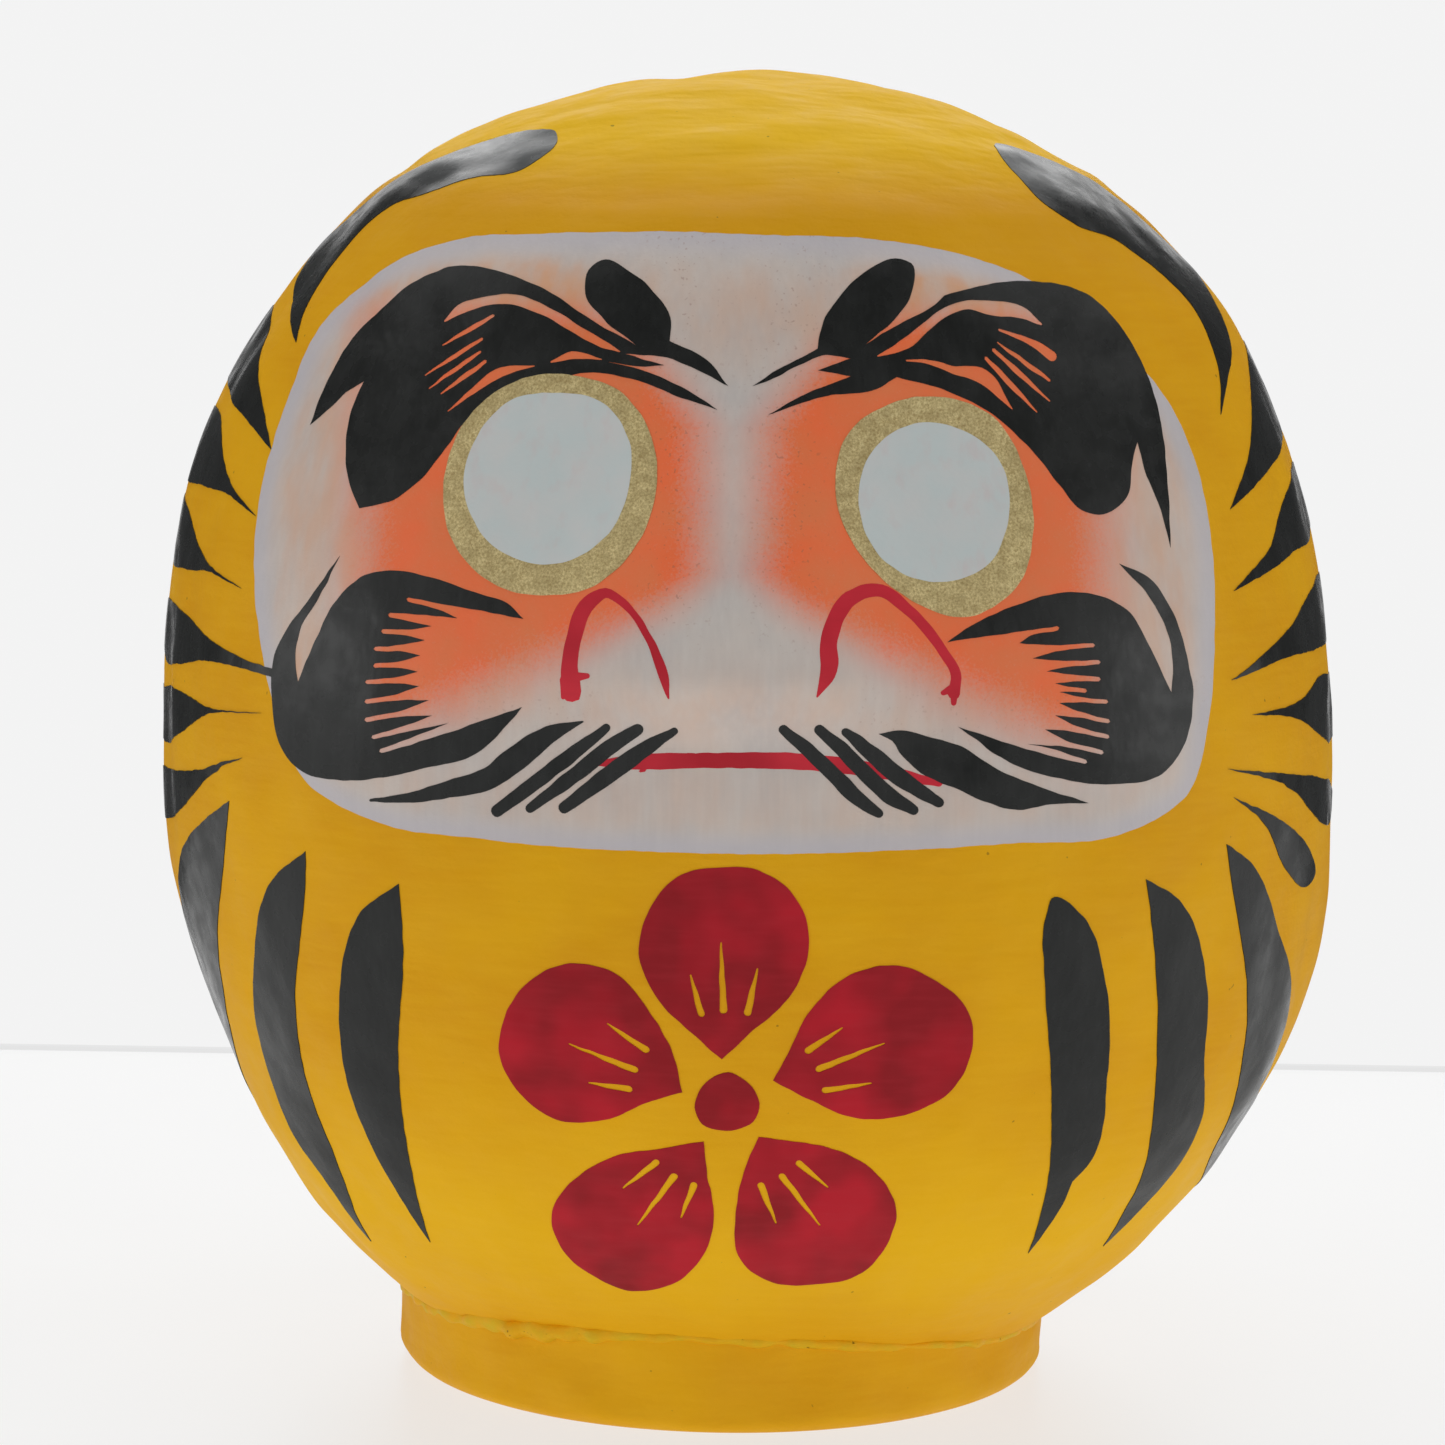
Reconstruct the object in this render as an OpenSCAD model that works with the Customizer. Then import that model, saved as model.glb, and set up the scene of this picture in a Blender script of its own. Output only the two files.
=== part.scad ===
// Daruma doll: a hollow paper shell glued on a weighted clay foot ring.
// Millimetres. +Z is up and the face looks along -Y. The origin is under the middle of the
// doll, on the surface that it stands on.

/* [Shell] */
// Width of the shell at its girth
body_w = 224; // [200:1:250]
// Depth of the shell at its girth, without the nose
body_d = 205; // [185:1:230]
// Height of the crown
body_top = 247.5; // [235:0.5:265]
// Height of the girth, the widest level
girth_z = 119.5; // [112:0.5:126]
// Thickness of the paper wall
wall = 2; // [1.5:0.5:3]
// Sideways sag of the lower body over the foot ring
sag = 2.8; // [0:0.1:5]

/* [Face relief] */
// Sideways place of the middle of the face
face_x = -2.5; // [-5:0.5:5]
// How far the hood's rim stands out above the face
hood_rise = 6; // [0:0.5:9]
// Height of the hood's rim
hood_z = 219; // [212:1:226]
// How far the nose stands out
nose_rise = 7; // [2:0.5:11]
// Height of the tip of the nose
nose_z = 145; // [138:1:152]
// Depth of the hollows around the eyes
eye_hollow = 3; // [0:0.5:5]
// Distance of each eye from the middle of the face
eye_x = 33; // [28:1:38]
// Height of the eyes
eye_z = 175; // [168:1:182]

/* [Back seam] */
// Width of the slit where the shell was cut off its mould
slit_w = 1; // [0.5:0.5:2]
// Height of the top of the slit
slit_top = 205; // [180:1:220]
// Width of the paper strip over the slit
strip_w = 22; // [16:1:30]
// Thickness of the paper strip
strip_t = 0.5; // [0.4:0.1:1]

/* [Foot] */
// Outer diameter of the foot ring
ring_d = 125; // [118:1:130]
// Inner diameter of the foot ring
ring_bore = 88; // [82:1:90]
// Radius of the ring's lower outer edge
ring_edge = 3; // [1:0.5:4]
// Thickness of the clay slab
slab_t = 9; // [6:1:12]
// Diameter of the paper disc underneath
paper_d = 104; // [98:1:108]
// Thickness of the paper disc
paper_t = 0.6; // [0.4:0.1:1]
// Radius of the bead of glue where it is thinnest
bead_r = 1.4; // [1:0.1:2]

/* [Hidden] */
$fn = 180;

half_w = body_w / 2;
half_d = body_d / 2;
rise = body_top - girth_z;   // height of the crown above the girth
drop = 126;                  // how far below the girth the lower body's curve would close
crown_power = 2.26;          // the upper body is a superellipse, a little fuller than an ellipse
belly_power = 2.1;           // and so is the lower body
plan_power = 2.15;           // and the body seen from above
rim_z = 7;                   // height of the shell's open lower edge
body_y = 1.2;                // the shell sits a little back, which leaves room for the nose
crown_x = -1;                // sideways place of the crown
ring_x = -3;                 // and of the foot ring's centre
sag_z = 69;                  // the level where the sideways sag is largest
sag_span = 52;               // how far up and down the sag fades
paper_z = 0.4;               // height of the paper disc above the floor

// The shell's grid: rows go up from the open edge, and columns go round from the slit.
rows = 31;
side_columns = 56;
columns = side_columns + 4;  // the strip and the slit add two on each side
last = columns - 1;
low_angle = -asin(pow((girth_z - rim_z) / drop, belly_power / 2));
high_angle = 84;

function lerp(a, b, t) = a + (b - a) * t;
function smooth(a, b, v) = let (t = min(1, max(0, (v - a) / (b - a)))) t * t * (3 - 2 * t);
function bell(v) = exp(-v * v);
function curved(v, power) = sign(v) * pow(abs(v), 2 / power);

// Sideways place of the shell's middle at height z.
function sag_x(z) = crown_x + sag * bell((z - sag_z) / sag_span);

// Height and reach of the body's outline at an angle from the girth (0) to the crown (90).
function power_at(angle) = angle < 0 ? belly_power : crown_power;
function outline_z(angle) =
    girth_z + (angle < 0 ? drop : rise) * curved(sin(angle), power_at(angle));
function outline_reach(angle) = curved(cos(angle), power_at(angle));

// The relief of the face, which is added towards the front. Here x counts from its middle.
function hood(x, z) =
    hood_rise * bell((z - hood_z) / (z > hood_z ? 9 : 24)) * exp(-pow(x / 66, 4));
function nose(x, z) =
    let (up = smooth(200, nose_z, z), wide = lerp(11, 27, up))
    nose_rise * up * smooth(nose_z - 16, nose_z - 2, z) * exp(-pow(abs(x) / wide, 2.6));
function hollows(x, z) =
    -eye_hollow * bell((abs(x) - eye_x) / 24) * bell((z - eye_z) / 26);
function relief(x, z) = hood(x, z) + nose(x, z) + hollows(x, z);

// A point of the shell, thicker than the outer surface by grow, which is negative inside.
function skin_point(around, angle, grow) =
    let (reach = outline_reach(angle),
         z = outline_z(angle) + grow * sin(angle),
         x = (half_w + grow) * reach * curved(sin(around), plan_power),
         y = -(half_d + grow) * reach * curved(cos(around), plan_power),
         front = smooth(0.1, 0.5, cos(around)))
    [x + sag_x(z), body_y + y - front * relief(x - face_x, z), z];

// Angle of row j above the girth, and direction of column i, which is 0 at the face.
function row_angle(j) = lerp(low_angle, high_angle, j / (rows - 1));
function edge_turn(width, j) = atan2(width / 2, half_d * outline_reach(row_angle(j)));
function turn(i, j) =
    i == 0 ? -180 + edge_turn(slit_w, j) :
    i == last ? 180 - edge_turn(slit_w, j) :
    let (edge = 180 - edge_turn(strip_w, j)) lerp(-edge, edge, (i - 1) / (columns - 3));
function grid(grow, low, high) =
    [for (j = [low : high], i = [0 : last]) skin_point(turn(i, j), row_angle(j), grow)];

// The four-sided gap between two points and the next two, as two triangles.
function quad(a, b, c, d) = [[a, b, c], [a, c, d]];
function each_quad(quads) = [for (q = quads) each quad(q[0], q[1], q[2], q[3])];

slit_row = ceil((rows - 1) * (asin(pow((slit_top - girth_z) / rise, crown_power / 2)) - low_angle)
    / (high_angle - low_angle));

// The shell: outer and inner skins, joined along the open edge and round the slit.
module body_shell() {
    inner = rows * columns;
    crown = 2 * inner;
    function at(i, j, side) = side * inner + j * columns + i;
    outer_quads = [
        for (j = [0 : rows - 2], i = [0 : last])
            if (i < last || j >= slit_row)
                let (n = (i + 1) % columns) [at(i, j, 0), at(i, j + 1, 0), at(n, j + 1, 0), at(n, j, 0)]
    ];
    inner_quads = [for (q = outer_quads) [for (k = [3 : -1 : 0]) q[k] + inner]];
    edge_quads = [for (i = [0 : last - 1]) [at(i, 0, 0), at(i + 1, 0, 0), at(i + 1, 0, 1), at(i, 0, 1)]];
    slit_quads = [
        for (j = [0 : slit_row - 1]) each [
            [at(0, j, 0), at(0, j, 1), at(0, j + 1, 1), at(0, j + 1, 0)],
            [at(last, j, 1), at(last, j, 0), at(last, j + 1, 0), at(last, j + 1, 1)]
        ]
    ];
    slit_end = [[at(last, slit_row, 0), at(0, slit_row, 0), at(0, slit_row, 1), at(last, slit_row, 1)]];
    crown_fans = [
        for (i = [0 : last]) let (n = (i + 1) % columns, j = rows - 1) each [
            [at(i, j, 0), crown, at(n, j, 0)],
            [at(n, j, 1), crown + 1, at(i, j, 1)]
        ]
    ];
    color("goldenrod")
        polyhedron(
            points = concat(grid(0, 0, rows - 1), grid(-wall, 0, rows - 1),
                [skin_point(0, 90, 0), skin_point(0, 90, -wall)]),
            faces = concat(each_quad(outer_quads), each_quad(inner_quads), each_quad(edge_quads),
                each_quad(slit_quads), each_quad(slit_end), crown_fans)
        );
}

// A paper strip that lies on the shell's back. It covers the slit from just above the bead of
// glue to a little way past the slit's top.
module back_seam_strip() {
    across = [last - 1, last, 0, 1];
    low_row = 2;
    top_row = slit_row + 1 - low_row;
    face_size = 4 * (top_row + 1);
    function strip_points(grow) = [
        for (j = [0 : top_row], i = across)
            skin_point(turn(i, j + low_row), row_angle(j + low_row), grow)
    ];
    function at(i, j, side) = side * face_size + 4 * j + i;
    outer_quads = [
        for (j = [0 : top_row - 1], i = [0 : 2])
            [at(i, j, 1), at(i, j + 1, 1), at(i + 1, j + 1, 1), at(i + 1, j, 1)]
    ];
    inner_faces = [for (f = each_quad(outer_quads)) [for (k = [2 : -1 : 0]) f[k] - face_size]];
    side_quads = [
        for (j = [0 : top_row - 1]) each [
            [at(0, j, 1), at(0, j, 0), at(0, j + 1, 0), at(0, j + 1, 1)],
            [at(3, j, 0), at(3, j, 1), at(3, j + 1, 1), at(3, j + 1, 0)]
        ]
    ];
    end_quads = [
        for (i = [0 : 2]) each [
            [at(i, 0, 0), at(i, 0, 1), at(i + 1, 0, 1), at(i + 1, 0, 0)],
            [at(i, top_row, 1), at(i, top_row, 0), at(i + 1, top_row, 0), at(i + 1, top_row, 1)]
        ]
    ];
    color("darkgoldenrod")
        polyhedron(
            points = concat(strip_points(0), strip_points(strip_t)),
            faces = concat(each_quad(outer_quads), inner_faces, each_quad(side_quads), each_quad(end_quads))
        );
}

// The lower body as a closed solid, which hollows out whatever is glued under the shell.
module under_body() {
    top_row = 9;
    size = (top_row + 1) * columns;
    function at(i, j) = j * columns + i;
    wall_quads = [
        for (j = [0 : top_row - 1], i = [0 : last])
            let (n = (i + 1) % columns) [at(i, j), at(i, j + 1), at(n, j + 1), at(n, j)]
    ];
    caps = [
        for (i = [0 : last]) let (n = (i + 1) % columns) each [
            [at(n, 0), size, at(i, 0)],
            [at(i, top_row), size + 1, at(n, top_row)]
        ]
    ];
    polyhedron(
        points = concat(grid(0, 0, top_row),
            [[ring_x, 0, rim_z], [ring_x, 0, outline_z(row_angle(top_row))]]),
        faces = concat(each_quad(wall_quads), caps)
    );
}

// The foot ring before its top is hollowed to fit the shell.
module ring_blank() {
    blank_h = 24;
    outer = ring_d / 2;
    bore = ring_bore / 2;
    lap = paper_d / 2 + 0.5;
    recess = paper_z + paper_t;
    translate([ring_x, 0, 0])
        rotate_extrude() {
            translate([bore, recess]) square([outer - bore, blank_h - recess]);
            translate([lap, 0]) square([outer - ring_edge - lap, blank_h]);
        }
}

module rounded_foot() {
    outer = ring_d / 2;
    translate([ring_x, 0, 0])
        rotate_extrude() {
            square([outer - ring_edge, 30]);
            translate([0, ring_edge]) square([outer, 30 - ring_edge]);
            translate([outer - ring_edge, ring_edge]) circle(r = ring_edge);
        }
}

module base_ring() {
    color("orange")
        difference() {
            intersection() {
                ring_blank();
                rounded_foot();
            }
            under_body();
        }
}

// Clay pressed into the ring's bore, with a shallow dish in its top.
module ballast_slab() {
    dish_r = 160;
    bottom = paper_z + paper_t;
    color("sienna")
        translate([ring_x, 0, bottom])
            difference() {
                cylinder(d = ring_bore, h = slab_t);
                translate([0, 0, dish_r + slab_t - 4]) sphere(r = dish_r);
            }
}

module bottom_paper() {
    color("wheat")
        translate([ring_x, 0, paper_z]) cylinder(d = paper_d, h = paper_t);
}

// Height of the shell's underside over a point of the ring's outer edge.
function seam_z(around) =
    let (x = ring_x + ring_d / 2 * sin(around) - sag_x(10),
         y = -ring_d / 2 * cos(around) - body_y,
         reach = pow(pow(abs(x) / half_w, plan_power) + pow(abs(y) / half_d, plan_power), 1 / plan_power))
    girth_z - drop * pow(1 - pow(reach, belly_power), 1 / belly_power);

// Radius of the bead, which is fat at the left front and uneven all round.
function bead_size(around) =
    bead_r * (1 + 0.7 * bell((around + 45) / 34) + 0.12 * sin(7 * around) + 0.08 * sin(17 * around + 40));

// A bead of glue along the joint between the shell and the ring.
module glue_bead() {
    stations = 60;
    sides = 8;
    function at(i, k) = (i % stations) * sides + k % sides;
    bead_points = [
        for (i = [0 : stations - 1], k = [0 : sides - 1])
            let (around = i * 360 / stations - 180, size = bead_size(around), tilt = k * 360 / sides,
                 out = ring_d / 2 + size * (0.1 + cos(tilt)))
            [ring_x + out * sin(around), -out * cos(around), seam_z(around) + size * sin(tilt)]
    ];
    bead_quads = [
        for (i = [0 : stations - 1], k = [0 : sides - 1])
            [at(i, k), at(i, k + 1), at(i + 1, k + 1), at(i + 1, k)]
    ];
    color("gold")
        difference() {
            polyhedron(points = bead_points, faces = each_quad(bead_quads));
            under_body();
            translate([ring_x, 0, 0]) cylinder(d = ring_d, h = 40);
        }
}

body_shell();
back_seam_strip();
base_ring();
ballast_slab();
bottom_paper();
glue_bead();
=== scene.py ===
"""Visual model of a daruma doll: a painted papier-mache shell on a weighted foot ring.

Lengths are worked out in millimetres and turned into metres when a mesh is made.
"""
import math

import bpy
import numpy as np
from mathutils import Euler, Matrix, Vector
from mathutils.geometry import delaunay_2d_cdt
from mathutils.kdtree import KDTree


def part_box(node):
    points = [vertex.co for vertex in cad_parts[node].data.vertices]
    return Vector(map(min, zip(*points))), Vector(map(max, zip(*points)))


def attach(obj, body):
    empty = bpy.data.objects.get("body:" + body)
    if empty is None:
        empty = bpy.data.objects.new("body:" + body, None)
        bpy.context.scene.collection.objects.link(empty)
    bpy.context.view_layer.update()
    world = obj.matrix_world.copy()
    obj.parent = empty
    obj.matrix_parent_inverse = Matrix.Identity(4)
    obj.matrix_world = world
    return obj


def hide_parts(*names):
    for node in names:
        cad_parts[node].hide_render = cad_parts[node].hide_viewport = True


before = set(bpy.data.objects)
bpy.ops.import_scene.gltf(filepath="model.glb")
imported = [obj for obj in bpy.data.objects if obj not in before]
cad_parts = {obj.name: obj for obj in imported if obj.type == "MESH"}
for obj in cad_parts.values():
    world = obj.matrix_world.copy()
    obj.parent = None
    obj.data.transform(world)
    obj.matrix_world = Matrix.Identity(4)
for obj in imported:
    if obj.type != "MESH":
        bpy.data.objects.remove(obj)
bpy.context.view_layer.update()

MM = 0.001


def box_mm(node):
    """Lowest and highest corners of a CAD node, in millimetres."""
    low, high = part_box(node)
    return np.array(low) / MM, np.array(high) / MM


# ---- the shell's shape, as in the CAD
shell_low, shell_high = box_mm("body_shell")
ring_low, ring_high = box_mm("base_ring")
paper_low, paper_high = box_mm("bottom_paper")
strip_low, strip_high = box_mm("back_seam_strip")

BODY_Y = 1.2
HALF_W = (shell_high[0] - shell_low[0]) / 2
HALF_D = shell_high[1] - BODY_Y
GIRTH_Z = 119.5
RISE = shell_high[2] - GIRTH_Z
DROP = 126.0
RIM_Z = 7.0
WALL = 2.0
CROWN_POWER, BELLY_POWER, PLAN_POWER = 2.26, 2.1, 2.15
CROWN_X, SAG, SAG_Z, SAG_SPAN = -1.0, 2.8, 69.0, 52.0
FACE_X = -2.5
HOOD_RISE, HOOD_Z = 6.0, 219.0
NOSE_RISE, NOSE_Z = 7.0, 145.0
HOLLOW, EYE_X, EYE_Z = 3.0, 33.0, 175.0
SLIT_W, SLIT_TOP = 1.0, 205.0
RING_X = (ring_low[0] + ring_high[0]) / 2
RING_R = (ring_high[0] - ring_low[0]) / 2
RING_BORE = 44.0
RING_EDGE = 3.0
SLIT_LIMIT = 0.6  # most degrees that half the slit takes up where the crown narrows
TOP_ANGLE = 89.4  # where the rows of the shell's mesh end and a fan closes the crown
PAINT_ROOT = 0.06  # how far paint and pasted paper reach into the shell

random = np.random.default_rng(11)


def smooth(a, b, v):
    t = np.clip((v - a) / (b - a), 0, 1)
    return t * t * (3 - 2 * t)


def bell(v):
    return np.exp(-v * v)


def curved(v, power):
    return np.sign(v) * np.abs(v) ** (2 / power)


def sag_x(z):
    return CROWN_X + SAG * bell((z - SAG_Z) / SAG_SPAN)


def relief(x, z):
    """The hood's rim, the nose and the hollows round the eyes. x counts from the face's middle."""
    hood = HOOD_RISE * bell((z - HOOD_Z) / np.where(z > HOOD_Z, 9, 24)) * np.exp(-(x / 66) ** 4)
    up = smooth(200, NOSE_Z, z)
    wide = 11 + 16 * up
    nose = NOSE_RISE * up * smooth(NOSE_Z - 16, NOSE_Z - 2, z) * np.exp(-(np.abs(x) / wide) ** 2.6)
    hollows = HOLLOW * bell((np.abs(x) - EYE_X) / 24) * bell((z - EYE_Z) / 26)
    return hood + nose - hollows


def shell_point(around, angle, grow=0.0):
    """A point of the shell. around is 0 at the face, and angle goes from the girth, 0, to the crown, 90."""
    turn, tilt = np.radians(around), np.radians(angle)
    power = np.where(angle < 0, BELLY_POWER, CROWN_POWER)
    reach = curved(np.cos(tilt), power)
    z = GIRTH_Z + np.where(angle < 0, DROP, RISE) * curved(np.sin(tilt), power) + grow * np.sin(tilt)
    x = (HALF_W + grow) * reach * curved(np.sin(turn), PLAN_POWER)
    y = -(HALF_D + grow) * reach * curved(np.cos(turn), PLAN_POWER)
    front = smooth(0.1, 0.5, np.cos(turn))
    return np.stack([x + sag_x(z), BODY_Y + y - front * relief(x - FACE_X, z), z], -1)


def angle_at(z):
    """The angle at which the shell reaches height z."""
    up = np.clip((z - GIRTH_Z) / RISE, 0, 1) ** (CROWN_POWER / 2)
    down = np.clip((GIRTH_Z - z) / DROP, 0, 1) ** (BELLY_POWER / 2)
    return np.degrees(np.where(z > GIRTH_Z, np.arcsin(up), -np.arcsin(down)))


def reach_at(z):
    up = np.clip((z - GIRTH_Z) / RISE, 0, 1)
    down = np.clip((GIRTH_Z - z) / DROP, 0, 1)
    above = (1 - up ** CROWN_POWER) ** (1 / CROWN_POWER)
    below = (1 - down ** BELLY_POWER) ** (1 / BELLY_POWER)
    return np.where(z > GIRTH_Z, above, below)


# ---- handmade unevenness
def waves(count, shortest, longest, stretch):
    """A smooth random field, about 1 in strength: a sum of waves, drawn out by stretch along x, y and z."""
    way = random.normal(size=(count, 3))
    way /= np.linalg.norm(way, axis=1, keepdims=True)
    way *= (2 * math.pi / random.uniform(shortest, longest, count))[:, None]
    way /= np.array(stretch)
    start = random.uniform(0, 2 * math.pi, count)
    return lambda p: math.sqrt(2 / count) * np.sin(p @ way.T + start).sum(-1)


crown_ripple = waves(30, 5, 12, (3.6, 2.6, 1.0))
crown_dent = waves(16, 22, 40, (1.6, 1.4, 1.0))
side_lump = waves(26, 15, 30, (1.0, 1.0, 1.9))
broad_lump = waves(14, 38, 70, (1.0, 1.0, 1.0))
paper_edge = waves(24, 7, 11, (1.0, 1.0, 1.0))
foot_lump = waves(22, 9, 22, (1.6, 1.6, 1.0))
bead_lump = waves(26, 3.5, 9, (1.0, 1.0, 1.0))
tremor_x, tremor_z = waves(14, 2.2, 5, (1, 1, 1)), waves(14, 2.2, 5, (1, 1, 1))


def hood_crease(x, z):
    """The hood's rim comes to a blunt edge in the middle."""
    return bell((z - HOOD_Z - 0.5) / 3.6) * np.exp(-((x - FACE_X) / 46) ** 4)


def lumps(p):
    """How far the pasted paper stands out of the smooth shape."""
    x, y, z = p[..., 0], p[..., 1], p[..., 2]
    face = smooth(55, 88, -y) * smooth(232, 214, z)
    crown = smooth(222, 232, z)
    side = 1 - face
    return (
        0.30 * crown * crown_ripple(p)
        + 0.12 * crown * crown_dent(p)
        + 0.90 * hood_crease(x, z) * smooth(40, 70, -y)
        + 0.22 * side * (1 - 0.6 * crown) * side_lump(p)
        + (0.10 + 0.25 * side) * (1 - 0.5 * crown) * broad_lump(p)
        + 0.035 * paper_edge(p)
    )


def shell_normal(around, angle):
    e = 0.03
    across = shell_point(around + e, angle) - shell_point(around - e, angle)
    up = shell_point(around, angle + e) - shell_point(around, angle - e)
    n = np.cross(across, up)
    return n / np.linalg.norm(n, axis=-1, keepdims=True)


def painted_point(around, angle, lift):
    """A point of the uneven surface, lift outside it."""
    p = shell_point(around, angle)
    return p + shell_normal(around, angle) * (lumps(p) + lift)[..., None]


# ---- meshes
def make_piece(name, points, faces, material, replaces=()):
    """A mesh piece that rides on the root. points are in millimetres."""
    mesh = bpy.data.meshes.new(name)
    mesh.from_pydata((np.asarray(points) * MM).tolist(), [], faces)
    mesh.polygons.foreach_set("use_smooth", [True] * len(mesh.polygons))
    mesh.update()
    mesh.validate()
    mesh.set_sharp_from_angle(angle=math.radians(50))
    piece = bpy.data.objects.new(name, mesh)
    bpy.context.scene.collection.objects.link(piece)
    mesh.materials.append(material)
    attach(piece, "root")
    if replaces:
        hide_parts(*replaces)
    return piece


def point_values(piece, name, values):
    """Numbers kept on the mesh's points for its material."""
    layer = piece.data.attributes.new(name, "FLOAT", "POINT")
    layer.data.foreach_set("value", np.asarray(values, dtype=np.float32))


def quad_row(start, columns, closed=True):
    """The quads between the row of points that begins at start and the row after it."""
    for i in range(columns if closed else columns - 1):
        n = (i + 1) % columns
        yield start + i, start + n, start + n + columns, start + i + columns


def grid_faces(rows, columns, closed=True):
    """Quads of a grid of points. They face outwards when the columns go round anticlockwise."""
    return [quad for j in range(rows - 1) for quad in quad_row(j * columns, columns, closed)]


def both_sides(faces, count):
    """faces, a turned copy of them on the points count further on, and a wall between the two rims."""
    edges = dict.fromkeys((a, b) for f in faces for a, b in zip(f, f[1:] + f[:1]))
    walls = [(b, a, a + count, b + count) for a, b in edges if (b, a) not in edges]
    turned = [tuple(i + count for i in f[::-1]) for f in faces]
    return faces + turned + walls


def back_reach(angle):
    """How far behind its middle the shell reaches at an angle."""
    power = np.where(angle < 0, BELLY_POWER, CROWN_POWER)
    return HALF_D * curved(np.cos(np.radians(angle)), power)


def shell_faces(columns, rows, steps, slit_row):
    """Faces of the two skins. steps are the rows of the outer skin that the inner skin shares."""
    inner, last, levels = rows * columns, columns - 1, len(steps)
    faces = []
    # Below slit_row the rows stay open at the slit.
    for j in range(rows - 1):
        faces += quad_row(j * columns, columns, j >= slit_row)
    for k in range(levels - 1):
        faces += [f[::-1] for f in quad_row(inner + k * columns, columns, steps[k] >= slit_row)]
    # The open edge underneath.
    for i in range(last):
        faces.append((i, inner + i, inner + i + 1, i + 1))
    # Both sides of the slit, and the slit's top end.
    below = int(np.searchsorted(steps, slit_row))
    for k in range(below):
        here, above = inner + k * columns, inner + (k + 1) * columns
        left = [j * columns for j in range(steps[k], steps[k + 1] + 1)]
        faces.append(tuple(left + [above, here]))
        faces.append(tuple([j + last for j in left[::-1]] + [here + last, above + last]))
    a, b = slit_row * columns, inner + below * columns
    faces.append((a, a + last, b + last, b))
    # The crown, a fan of triangles on each skin. The fans' middles are the last two points.
    crown, under = inner + levels * columns, inner + levels * columns + 1
    rim, inner_rim = (rows - 1) * columns, inner + (levels - 1) * columns
    for i in range(columns):
        n = (i + 1) % columns
        faces.append((rim + i, rim + n, crown))
        faces.append((inner_rim + n, inner_rim + i, under))
    return faces


def make_shell(material):
    """Both skins of the shell, joined along its open edge and round the slit in its back."""
    columns, rows, inner_rows = 380, 202, 36
    angles = np.linspace(angle_at(RIM_Z), TOP_ANGLE, rows)
    slit_row = int(np.searchsorted(angles, angle_at(SLIT_TOP)))
    half_slit = np.minimum(np.degrees(np.arctan2(SLIT_W / 2, back_reach(angles))), SLIT_LIMIT)
    around = np.linspace(-1, 1, columns)[None, :] * (180 - half_slit)[:, None]
    angle = np.broadcast_to(angles[:, None], around.shape)
    steps = np.linspace(0, rows - 1, inner_rows).round().astype(int)
    steps[np.argmin(np.abs(steps - slit_row))] = slit_row
    outer = painted_point(around, angle, np.zeros(around.shape))
    inner = shell_point(around[steps], angle[steps], -WALL)
    points = [outer.reshape(-1, 3), inner.reshape(-1, 3), [outer[-1].mean(0), inner[-1].mean(0)]]
    faces = shell_faces(columns, rows, steps, slit_row)
    return make_piece("shell_skin", np.concatenate(points), faces, material,
                      replaces=["body_shell"])


# ---- brush work
STEP = 0.8        # distance between the points of a smoothed outline
TREMBLE = 0.04    # how far a hand-held brush strays
SPACING = 1.55    # distance between the points inside a patch of paint
AROUND_MM = 1.95  # length of one degree round the side of the doll
ANGLE_MM = 2.1    # and of one degree up it


def spline(points, closed):
    """A smooth line through points. A closed line keeps a corner where a point has a third number, 1."""
    values = np.array([p[:2] if closed else p for p in points], dtype=float)
    sharp = [closed and len(p) > 2 for p in points]
    count = len(points)
    out = []
    for i in range(count if closed else count - 1):
        n = (i + 1) % count
        b, c = values[i], values[n]
        a = b - (c - b) if sharp[i] or (not closed and i == 0) else values[i - 1]
        d = c + (c - b) if sharp[n] or (not closed and n == count - 1) else values[(i + 2) % count]
        length = np.linalg.norm((c - b)[:2])
        steps = max(1, int(round(length / STEP)))
        # The slopes at b and c, weighed by the lengths on both sides, keep the line from overshooting.
        before, after = np.linalg.norm((b - a)[:2]), np.linalg.norm((d - c)[:2])
        leave = (c - b) + length * ((b - a) / before - (c - a) / (before + length))
        reach = (c - b) + length * ((d - c) / after - (d - b) / (after + length))
        for t in np.arange(steps) / steps:
            out.append(b * (2 * t**3 - 3 * t**2 + 1) + leave * (t**3 - 2 * t**2 + t)
                       + c * (3 * t**2 - 2 * t**3) + reach * (t**3 - t**2))
    if not closed:
        out.append(values[-1])
    return np.array(out)


def by_hand(line):
    """line with the tremble of a hand-held brush."""
    p = np.column_stack([line, np.zeros(len(line))])
    return line + TREMBLE * np.stack([tremor_x(p), tremor_z(p)], -1)


def closed_line(points):
    return by_hand(spline(points, True))


def stroke(points):
    """Outline of a brush stroke through (x, z, width) points, with round ends where it is wide."""
    line = spline(points, False)
    ahead = np.gradient(line[:, :2], axis=0)
    ahead /= np.linalg.norm(ahead, axis=1, keepdims=True)
    aside = np.stack([-ahead[:, 1], ahead[:, 0]], -1)
    half = line[:, 2:3] / 2
    left, right = line[:, :2] + aside * half, line[:, :2] - aside * half

    def cap(at, way, side, radius):
        turns = np.radians([30, 60, 90, 120, 150]) if radius > 0.35 else np.radians([90])
        return [at + radius * (math.cos(t) * side + math.sin(t) * way) for t in turns]

    tip = cap(line[-1, :2], ahead[-1], aside[-1], half[-1, 0])
    tail = cap(line[0, :2], -ahead[0], -aside[0], half[0, 0])
    return by_hand(np.array(list(left) + tip + list(right[::-1]) + tail))


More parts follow.
